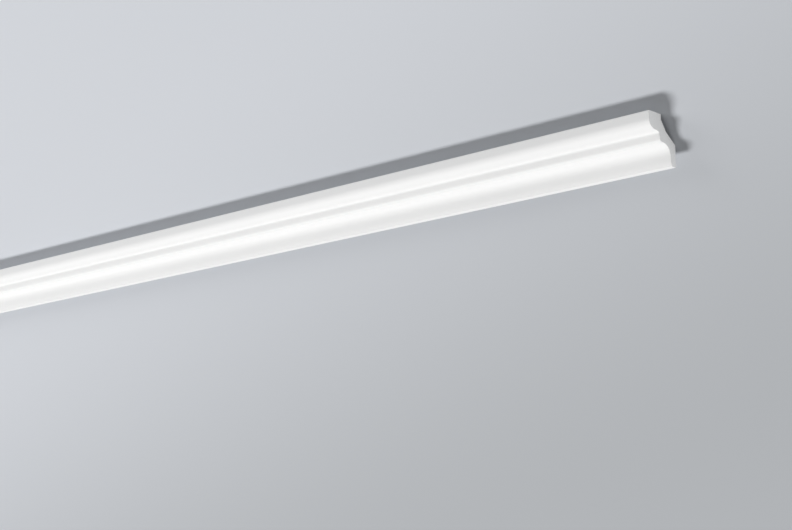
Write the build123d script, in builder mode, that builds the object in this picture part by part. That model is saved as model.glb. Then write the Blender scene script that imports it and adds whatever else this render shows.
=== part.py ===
from build123d import *
import os
from math import atan2, degrees

# A length of small ceiling cornice moulding, one extruded piece of white rigid foam.
# Millimetres. The section is drawn as it is fitted: x runs from the lip to the wall face,
# y is measured upward from the ceiling face, so every drop is negative.
# The piece is then laid on its hollow back on a level floor, with the moulded face up.
# The origin is under the middle of the piece, X runs along its length.

# Overall sizes
length = 2000.0
height = 50.0
projection = 43.0

# Lip and ovolo, down from the ceiling face
lip_drop = 16.5
lip_arris = 0.6
ovolo_radius = 9.8

# Soffit behind the ovolo and the small cove that ends it
soffit_run = 16.6
soffit_fall = 2.0
small_cove_radius = 3.0

# Fillet, the narrow upright band between the two hollows
fillet_drop = 9.4
fillet_run = 1.1
fillet_arris = 2.8

# Cavetto, from its nearly level top to the tall band
cavetto_fall = 1.4
cavetto_radius = 11.4

# Tall band, with its eased lower edge
band_run = 1.1
nose_drop = 4.4
nose_run = 1.4
nose_radius = 20.0
nose_arris = 0.8

# Flat bottom face, wall face and ceiling face
bottom_width = 6.5
wall_face_height = 22.7
ceiling_face_width = 20.0

# Hollow back: an upright return, then two slopes that meet at a break
return_height = 5.6
break_from_wall = 15.2
break_drop = 16.4

# Corners of the front, where the flats would meet without their curves
lip_foot = (0, -lip_drop)
soffit_back = (soffit_run, lip_foot[1] - soffit_fall)
fillet_foot = (soffit_back[0] + fillet_run, soffit_back[1] - fillet_drop)
nose_foot = (projection - bottom_width, -height)
nose_top = (nose_foot[0] - nose_run, nose_foot[1] + nose_drop)
band_top = (nose_top[0] - band_run, fillet_foot[1] - cavetto_fall)

# Corners of the back
wall_foot = (projection, -height)
wall_top = (projection, wall_face_height - height)
back_break = (projection - break_from_wall, -break_drop)
return_foot = (ceiling_face_width, -return_height)
return_top = (ceiling_face_width, 0)

# Each corner of the outline with the radius that rounds it; the corners of the back are sharp
outline = [
    ((0, 0), lip_arris),
    (lip_foot, ovolo_radius),
    (soffit_back, small_cove_radius),
    (fillet_foot, fillet_arris),
    (band_top, cavetto_radius),
    (nose_top, nose_radius),
    (nose_foot, nose_arris),
    (wall_foot, 0),
    (wall_top, 0),
    (back_break, 0),
    (return_foot, 0),
    (return_top, 0),
]

with BuildSketch() as fitted_section:
    with BuildLine():
        FilletPolyline(
            [corner for corner, radius in outline],
            radius=[radius for corner, radius in outline],
            close=True,
        )
    make_face()

# The piece rests on the back corner of the ceiling face and the top of the wall face.
# Half a turn and the slope between the two puts the moulded face up.
rest_slope = degrees(atan2(return_top[1] - wall_top[1], wall_top[0] - return_top[0]))

with BuildSketch() as lying_section:
    add(fitted_section.sketch, rotation=180 + rest_slope)

# The far end's plane, set so that the resting edges meet the floor and the piece is centred
lying_box = lying_section.sketch.bounding_box()
far_end = Plane(
    origin=(-length / 2, -lying_box.center().X, -lying_box.min.Y),
    x_dir=(0, 1, 0),
    z_dir=(1, 0, 0),
)

with BuildPart() as cornice_moulding:
    with BuildSketch(far_end):
        add(lying_section.sketch)
    extrude(amount=length)

cornice_moulding.part.label = "cornice_moulding"

os.makedirs("parts", exist_ok=True)
export_step(cornice_moulding.part, "parts/cornice_moulding.step")
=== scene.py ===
from math import atan2, ceil, pi, radians, sin, tan

import bmesh
import bpy
from mathutils import Euler, Matrix, Vector


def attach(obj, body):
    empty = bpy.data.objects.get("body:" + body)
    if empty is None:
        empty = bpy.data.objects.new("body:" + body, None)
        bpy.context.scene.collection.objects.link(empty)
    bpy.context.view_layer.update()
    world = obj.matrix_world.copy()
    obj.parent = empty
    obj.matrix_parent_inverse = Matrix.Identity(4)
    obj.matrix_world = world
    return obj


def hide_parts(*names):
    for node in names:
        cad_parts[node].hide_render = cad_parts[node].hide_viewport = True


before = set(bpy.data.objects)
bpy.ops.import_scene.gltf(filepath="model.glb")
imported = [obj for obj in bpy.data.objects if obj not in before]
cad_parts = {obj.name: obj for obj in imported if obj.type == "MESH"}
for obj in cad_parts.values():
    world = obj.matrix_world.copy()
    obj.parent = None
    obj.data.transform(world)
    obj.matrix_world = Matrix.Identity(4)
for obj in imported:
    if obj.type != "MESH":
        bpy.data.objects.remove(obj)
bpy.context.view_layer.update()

# All lengths are in metres
MM = 0.001

# Overall sizes of the piece
LENGTH = 2000 * MM
HEIGHT = 50 * MM
PROJECTION = 43 * MM

# Lip and ovolo, down from the ceiling face
LIP_DROP = 16.5 * MM
LIP_ARRIS = 0.6 * MM
OVOLO_RADIUS = 9.8 * MM

# Soffit behind the ovolo and the small cove that ends it
SOFFIT_RUN = 16.6 * MM
SOFFIT_FALL = 2 * MM
SMALL_COVE_RADIUS = 3 * MM

# Fillet, the narrow upright band between the two hollows
FILLET_DROP = 9.4 * MM
FILLET_RUN = 1.1 * MM
FILLET_ARRIS = 2.8 * MM

# Cavetto, from its nearly level top to the tall band
CAVETTO_FALL = 1.4 * MM
CAVETTO_RADIUS = 11.4 * MM

# Tall band, with its eased lower edge
BAND_RUN = 1.1 * MM
NOSE_DROP = 4.4 * MM
NOSE_RUN = 1.4 * MM
NOSE_RADIUS = 20 * MM
NOSE_ARRIS = 0.8 * MM

# Flat bottom face, wall face and ceiling face
BOTTOM_WIDTH = 6.5 * MM
WALL_FACE_HEIGHT = 22.7 * MM
CEILING_FACE_WIDTH = 20 * MM

# Hollow back: an upright return, then two slopes that meet at a break
RETURN_HEIGHT = 5.6 * MM
BREAK_FROM_WALL = 15.2 * MM
BREAK_DROP = 16.4 * MM

# Slight softening of the back's corners and of the sawn ends
BACK_ARRIS = 0.3 * MM
SAWN_ARRIS = 0.15 * MM
SAWN_ARRIS_STEPS = 2

# Fineness of the mesh: the turn of each step on a curve, and the divisions along the piece
ARC_STEP = radians(3)
STATIONS = 20

# Relief of both finishes, from 0 to 1
RELIEF = 0.6

# Extruded skin: how many features a metre holds, how they are drawn out, how high they stand
PEEL_PER_METRE = 700
PEEL_HEIGHT = 0.5
LINES_PER_METRE = 1400
LINES_STRETCH = (0.004, 1, 1)
LINES_HEIGHT = 0.5
CLOUDS_PER_METRE = 7
CLOUDS_STRETCH = (1, 6, 6)
SKIN_DEPTH = 0.2 * MM
SKIN_DARK = (0.885, 0.885, 0.88)
SKIN_LIGHT = (0.915, 0.915, 0.91)
SKIN_ROUGHNESS = 0.68
SKIN_ROUGHNESS_MORE = 0.08

# Sawn foam: the same for its cells, the saw's marks and the mottle of its colour
CELLS_PER_METRE = 2600
CELLS_HEIGHT = 0.6
CELLS_TINT = 0.5
MARKS_PER_METRE = 1800
MARKS_STRETCH = (1, 0.1, 1)
MARKS_HEIGHT = 0.4
MOTTLE_PER_METRE = 500
MOTTLE_TINT = 0.6
SAWN_DEPTH = 0.4 * MM
SAWN_DARK = (0.74, 0.74, 0.735)
SAWN_LIGHT = (0.85, 0.85, 0.845)
SAWN_ROUGHNESS = 0.85

# Floor: its tint is painted light and shade, lighter on one side and darker on the other. Its lighter
# side, and how far that way from the middle of the piece its tint turns
FLOOR_REACH = 30
PAINTED_LIGHT_SIDE = (-0.272, 0.962, 0)
PAINTED_SHADE_UP_TO = -0.603
PAINTED_LIGHT_FROM = 0.079
# The floor's darker grey is painted shade and its lighter grey is painted light
FLOOR_PAINTED_SHADE = (0.435, 0.451, 0.471)
FLOOR_PAINTED_LIGHT = (0.612, 0.633, 0.671)
FLOOR_ROUGHNESS = 0.9

# The camera as it stands to the fitted piece: how far it looks up, how far it turns from
# squarely facing the lip towards the far end, and where it sees the near end's lip corner
LOOK_UP = radians(11.68)
LOOK_ALONG = radians(43.92)
FOCAL_PIXELS = 1706
IMAGE_WIDTH = 792
IMAGE_CENTRE = (396, 265)
LIP_CORNER_PIXEL = (648.77, 109.74)
LIP_CORNER_DEPTH = 1.6585
SENSOR_WIDTH = 36

# Light: the room's even grey, the backdrop, and the point on the piece that the lamps face
ROOM = (0.26, 0.26, 0.26)
BACKDROP = (0.5, 0.515, 0.54)
LIT_POINT = Vector((0.45, 0, 0))


class Signal:
    """One output of a material's node. Arithmetic on it adds Math nodes."""

    def __init__(self, graph, socket):
        self.graph = graph
        self.socket = socket

    def math(self, operation, first, second):
        return self.graph.node("ShaderNodeMath", {"operation": operation}, {0: first, 1: second})

    def __add__(self, other):
        return self.math("ADD", self, other)

    def __radd__(self, other):
        return self.math("ADD", other, self)

    def __sub__(self, other):
        return self.math("SUBTRACT", self, other)

    def __rsub__(self, other):
        return self.math("SUBTRACT", other, self)

    def __mul__(self, other):
        return self.math("MULTIPLY", self, other)

    def __rmul__(self, other):
        return self.math("MULTIPLY", other, self)


class Graph:
    """The node tree of a material or of the room's light, with the shader that it feeds."""

    def __init__(self, owner, shader="Principled BSDF"):
        owner.use_nodes = True
        self.owner = owner
        self.nodes = owner.node_tree.nodes
        self.links = owner.node_tree.links
        self.shader = self.nodes[shader]

    def node(self, kind, settings, values, output=0):
        """A new node with its settings, then its sockets' values or links, as one of its outputs."""
        made = self.nodes.new(kind)
        for name, value in settings.items():
            setattr(made, name, value)
        self.fill(made, values)
        return Signal(self, made.outputs[output])

    def fill(self, made, values):
        for name, value in values.items():
            if isinstance(value, Signal):
                self.links.new(value.socket, made.inputs[name])
            else:
                made.inputs[name].default_value = value

    def place(self):
        """The point of the surface, in the piece's own metres."""
        return self.node("ShaderNodeTexCoord", {}, {}, output="Object")


def noise(graph, per_metre, stretch=(1, 1, 1)):
    """Smooth noise from 0 to 1, finer by a factor along each axis. A factor under 1 draws it out."""
    stretched = graph.node(
        "ShaderNodeVectorMath",
        {"operation": "MULTIPLY"},
        {0: graph.place(), 1: stretch},
    )
    return graph.node("ShaderNodeTexNoise", {}, {"Vector": stretched, "Scale": per_metre, "Detail": 3})


def tinted(graph, amount, dark, light):
    """A colour between two, by a value from 0 to 1."""
    return graph.node(
        "ShaderNodeMix",
        {"data_type": "RGBA"},
        {"Factor": amount, "A": (*dark, 1), "B": (*light, 1)},
        output="Result",
    )


def relief(graph, height, depth):
    """Bumps as deep as given where the height goes from 0 to 1."""
    return graph.node("ShaderNodeBump", {}, {"Strength": RELIEF, "Distance": depth, "Height": height})


def extruded_skin():
    """White foam as it leaves the die: satin, a little orange peel and faint lines along it."""
    graph = Graph(bpy.data.materials.new("extruded_skin"))
    peel = noise(graph, PEEL_PER_METRE)
    lines = noise(graph, LINES_PER_METRE, LINES_STRETCH)
    clouds = noise(graph, CLOUDS_PER_METRE, CLOUDS_STRETCH)
    graph.fill(graph.shader, {
        "Base Color": tinted(graph, clouds, SKIN_DARK, SKIN_LIGHT),
        "Roughness": clouds * SKIN_ROUGHNESS_MORE + SKIN_ROUGHNESS,
        "Normal": relief(graph, peel * PEEL_HEIGHT + lines * LINES_HEIGHT, SKIN_DEPTH),
    })
    return graph.owner


def sawn_foam():
    """The cut ends: open cells of the foam and the faint marks of a fine saw."""
    graph = Graph(bpy.data.materials.new("sawn_foam"))
    cells = graph.node(
        "ShaderNodeTexVoronoi",
        {},
        {"Vector": graph.place(), "Scale": CELLS_PER_METRE},
        output="Distance",
    )
    marks = noise(graph, MARKS_PER_METRE, MARKS_STRETCH)
    mottle = noise(graph, MOTTLE_PER_METRE)
    shade = cells * CELLS_TINT + mottle * MOTTLE_TINT
    graph.fill(graph.shader, {
        "Base Color": tinted(graph, 1 - shade, SAWN_DARK, SAWN_LIGHT),
        "Roughness": SAWN_ROUGHNESS,
        "Normal": relief(graph, cells * CELLS_HEIGHT + marks * MARKS_HEIGHT, SAWN_DEPTH),
    })
    return graph.owner


def pale_floor():
    """A plain pale floor whose tint turns slowly from one cool grey to a lighter one, as painted shade
    on one side and painted light on the other.
    """
    graph = Graph(bpy.data.materials.new("pale_floor"))
    towards = graph.node(
        "ShaderNodeVectorMath",
        {"operation": "DOT_PRODUCT"},
        {0: graph.place(), 1: PAINTED_LIGHT_SIDE},
        output="Value",
    )
    painted_light_amount = graph.node(
        "ShaderNodeMapRange",
        {"interpolation_type": "SMOOTHSTEP"},
        {"Value": towards, "From Min": PAINTED_SHADE_UP_TO, "From Max": PAINTED_LIGHT_FROM},
    )
    graph.fill(graph.shader, {
        # Base Color carries painted light and shade: darker grey on one side, lighter grey on the other
        "Base Color": tinted(graph, painted_light_amount, FLOOR_PAINTED_SHADE, FLOOR_PAINTED_LIGHT),
        "Roughness": FLOOR_ROUGHNESS,
    })
    return graph.owner


def section_corners():
    """Each corner of the fitted section, with its radius. A corner is its distance from the lip
    towards the wall face, then its height over the ceiling face, so every drop is negative."""
    soffit_back = Vector((SOFFIT_RUN, -LIP_DROP - SOFFIT_FALL))
    fillet_foot = soffit_back + Vector((FILLET_RUN, -FILLET_DROP))
    nose_foot = Vector((PROJECTION - BOTTOM_WIDTH, -HEIGHT))
    nose_top = nose_foot + Vector((-NOSE_RUN, NOSE_DROP))
    band_top = Vector((nose_top.x - BAND_RUN, fillet_foot.y - CAVETTO_FALL))
    return [
        (Vector((0, 0)), LIP_ARRIS),
        (Vector((0, -LIP_DROP)), OVOLO_RADIUS),
        (soffit_back, SMALL_COVE_RADIUS),
        (fillet_foot, FILLET_ARRIS),
        (band_top, CAVETTO_RADIUS),
        (nose_top, NOSE_RADIUS),
        (nose_foot, NOSE_ARRIS),
        (Vector((PROJECTION, -HEIGHT)), BACK_ARRIS),
        (Vector((PROJECTION, WALL_FACE_HEIGHT - HEIGHT)), BACK_ARRIS),
        (Vector((PROJECTION - BREAK_FROM_WALL, -BREAK_DROP)), BACK_ARRIS),
        (Vector((CEILING_FACE_WIDTH, -RETURN_HEIGHT)), BACK_ARRIS),
        (Vector((CEILING_FACE_WIDTH, 0)), BACK_ARRIS),
    ]


def rounded_outline(corners):
    """The closed outline, with each corner replaced by an arc that touches both its sides."""
    outline = []
    for index, (corner, radius) in enumerate(corners):
        back = (corners[index - 1][0] - corner).normalized()
        ahead = (corners[(index + 1) % len(corners)][0] - corner).normalized()
        half = back.angle(ahead) / 2
        centre = corner + (back + ahead).normalized() * radius / sin(half)
        start = corner + back * radius / tan(half) - centre
        turn = (pi - 2 * half) * (1 if back.cross(ahead) < 0 else -1)
        steps = max(2, ceil(abs(turn) / ARC_STEP))
        for step in range(steps + 1):
            outline.append(centre + Matrix.Rotation(turn * step / steps, 2) @ start)
    return outline


def as_it_lies():
    """Takes the fitted piece, x along it, to the piece on its back on the floor, face up."""
    rest_slope = atan2(HEIGHT - WALL_FACE_HEIGHT, PROJECTION - CEILING_FACE_WIDTH)
    turn = Matrix.Rotation(pi + rest_slope, 4, "X")
    wall_foot = turn @ Vector((0, PROJECTION, -HEIGHT))
    wall_top = turn @ Vector((0, PROJECTION, WALL_FACE_HEIGHT - HEIGHT))
    lip = turn @ Vector((0, LIP_ARRIS, -LIP_ARRIS))
    centre = (wall_foot.y + lip.y + LIP_ARRIS) / 2
    return Matrix.Translation((0, -centre, -wall_top.z)) @ turn


def extrusion(outline):
    """The outline carried along the whole length, as a closed mesh with softened sawn ends.
    Its sides take the first material and its ends the second."""
    mesh = bmesh.new()
    rings = []
    for station in range(STATIONS + 1):
        x = LENGTH * (station / STATIONS - 0.5)
        rings.append([mesh.verts.new((x, point.x, point.y)) for point in outline])
    for ring, after in zip(rings, rings[1:]):
        for index in range(len(outline)):
            last = index - 1
            mesh.faces.new((ring[last], ring[index], after[index], after[last]))
    ends = [mesh.faces.new(rings[0]), mesh.faces.new(rings[-1])]
    bmesh.ops.recalc_face_normals(mesh, faces=mesh.faces)
    for end in ends:
        end.material_index = 1
    rims = [edge for end in ends for edge in end.edges]
    bmesh.ops.bevel(
        mesh,
        geom=rims,
        offset=SAWN_ARRIS,
        segments=SAWN_ARRIS_STEPS,
        affect="EDGES",
        material=0,
    )
    return mesh


def placed(name, mesh, *materials):
    """An object in the scene that shows the mesh in these materials."""
    data = bpy.data.meshes.new(name)
    mesh.to_mesh(data)
    mesh.free()
    for material in materials:
        data.materials.append(material)
    made = bpy.data.objects.new(name, data)
    bpy.context.collection.objects.link(made)
    return made


def cornice():
    """The whole piece as it lies."""
    mesh = extrusion(rounded_outline(section_corners()))
    for face in mesh.faces:
        face.smooth = True
    mesh.transform(as_it_lies())
    piece = placed("cornice", mesh, extruded_skin(), sawn_foam())
    piece.modifiers.new("flats_stay_flat", "WEIGHTED_NORMAL")
    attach(piece, "root")
    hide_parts("cornice_moulding")


def floor():
    """The level floor that the piece lies on."""
    mesh = bmesh.new()
    bmesh.ops.create_grid(mesh, size=FLOOR_REACH)
    placed("floor", mesh, pale_floor())


def camera():
    """The view of the fitted piece, turned with the piece as it lies."""
    axes = Euler((pi / 2 + LOOK_UP, 0, LOOK_ALONG)).to_matrix()
    right = (LIP_CORNER_PIXEL[0] - IMAGE_CENTRE[0]) / FOCAL_PIXELS
    up = (IMAGE_CENTRE[1] - LIP_CORNER_PIXEL[1]) / FOCAL_PIXELS
    lip_corner = Vector((LENGTH / 2, 0, 0))
    place = lip_corner - axes @ (Vector((right, up, -1)) * LIP_CORNER_DEPTH)
    data = bpy.data.cameras.new("camera")
    data.sensor_width = SENSOR_WIDTH
    data.lens = FOCAL_PIXELS / IMAGE_WIDTH * SENSOR_WIDTH
    made = bpy.data.objects.new("camera", data)
    made.matrix_world = as_it_lies() @ Matrix.Translation(place) @ axes.to_4x4()
    bpy.context.collection.objects.link(made)
    bpy.context.scene.camera = made


def room():
    """Even light from all round, and the backdrop that the camera and reflections see instead."""
    graph = Graph(bpy.data.worlds.new("room"), "Background")
    camera_ray, glossy_ray, transmission_ray = [
        graph.node("ShaderNodeLightPath", {}, {}, output=ray)
        for ray in ("Is Camera Ray", "Is Glossy Ray", "Is Transmission Ray")
    ]
    seen = camera_ray + glossy_ray + transmission_ray
    graph.fill(graph.shader, {"Color": tinted(graph, seen, ROOM, BACKDROP), "Strength": 1})
    bpy.context.scene.world = graph.owner


def lamp(name, direction, distance, spread, grid, level):
    """A soft light with a grid, which lets nothing out past an angle from its axis. Spread is how
    wide the light looks along the piece and across it, in degrees as the grid's angle is. Level is
    how near to white it alone brings a facing white card."""
    edge = radians(grid)
    data = bpy.data.lights.new(name, "AREA")
    data.shape = "RECTANGLE"
    data.size, data.size_y = [2 * distance * tan(radians(angle) / 2) for angle in spread]
    data.spread = 2 * edge
    data.energy = level * (pi * distance) ** 2 * (1 - edge / tan(edge))
    made = bpy.data.objects.new(name, data)
    made.visible_camera = False
    towards = Vector(direction).normalized()
    across = towards.cross(Vector((1, 0, 0))).normalized()
    turn = Matrix((across.cross(towards), across, towards)).transposed().to_4x4()
    made.matrix_world = Matrix.Translation(LIT_POINT + towards * distance) @ turn
    bpy.context.collection.objects.link(made)


def lamps():
    """A high key over the far end, a near lamp on the lip's side, and a low one on the near end."""
    lamp("key", direction=(-0.6, -0.414, 0.685), distance=60, spread=(18, 9.2), grid=75, level=0.924)
    lamp("lip_light", direction=(-0.68, 0.65, 0.33), distance=3.5, spread=(32, 24), grid=35, level=0.427)
    lamp("end_light", direction=(0.98, 0.12, 0.08), distance=60, spread=(14, 7), grid=30, level=0.42)


bpy.context.scene.view_settings.view_transform = "Standard"
cornice()
floor()
camera()
room()
lamps()
